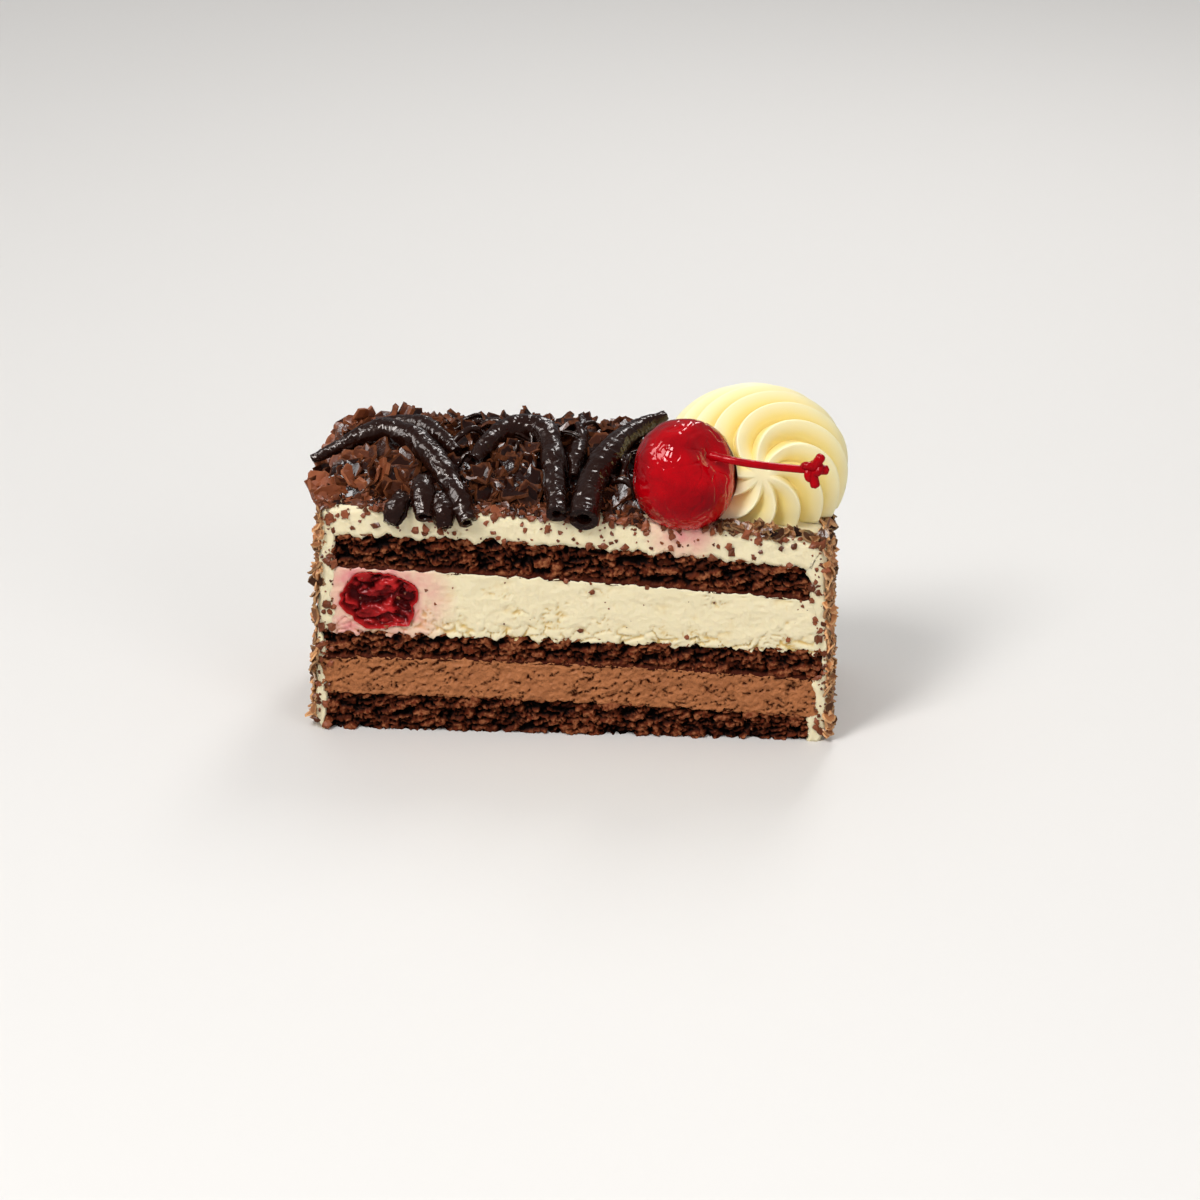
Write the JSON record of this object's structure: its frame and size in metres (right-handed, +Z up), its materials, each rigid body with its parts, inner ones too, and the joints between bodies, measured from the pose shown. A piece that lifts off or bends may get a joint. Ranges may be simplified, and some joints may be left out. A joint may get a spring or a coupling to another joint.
{
  "type": "black forest cake slice",
  "caption": "Rectangular slice of layered chocolate sponge, mousse and cream with a cream coat, chocolate shavings and curls, a piped rosette and a stemmed cherry on top.",
  "frame": {"origin": "middle of the slice's flat underside", "axes": "+X along the slice towards the rosette, +Y away from the cut face that shows the cherry, +Z up"},
  "size_m": [0.1183, 0.0505, 0.0735],
  "materials": {
    "sponge": "open dark crumb",
    "mousse": "soft, torn",
    "cream": "soft satin",
    "rosette_cream": "smooth satin",
    "dark_chocolate": "glossy",
    "shavings": "dry satin",
    "cherry_skin": "wet gloss",
    "cherry_flesh": "wet"
  },
  "bodies": {
    "root": {"sponge_bottom": "sponge", "mousse": "mousse", "sponge_middle": "sponge", "filling": "cream", "sponge_top": "sponge", "filling_cherry": "cherry_flesh", "curl_arch_left": "dark_chocolate", "curl_arch_left_back": "dark_chocolate", "curl_stub_left": "dark_chocolate", "curl_stub_middle": "dark_chocolate", "curl_stub_right": "dark_chocolate", "curl_arch_middle": "dark_chocolate", "curl_fold": "dark_chocolate", "curl_diagonal": "dark_chocolate", "cream_coat": "cream", "shavings": "shavings", "rosette": "rosette_cream", "cherry": "cherry_skin", "cherry_stem": "cherry_skin"}
  },
  "joints": []
}
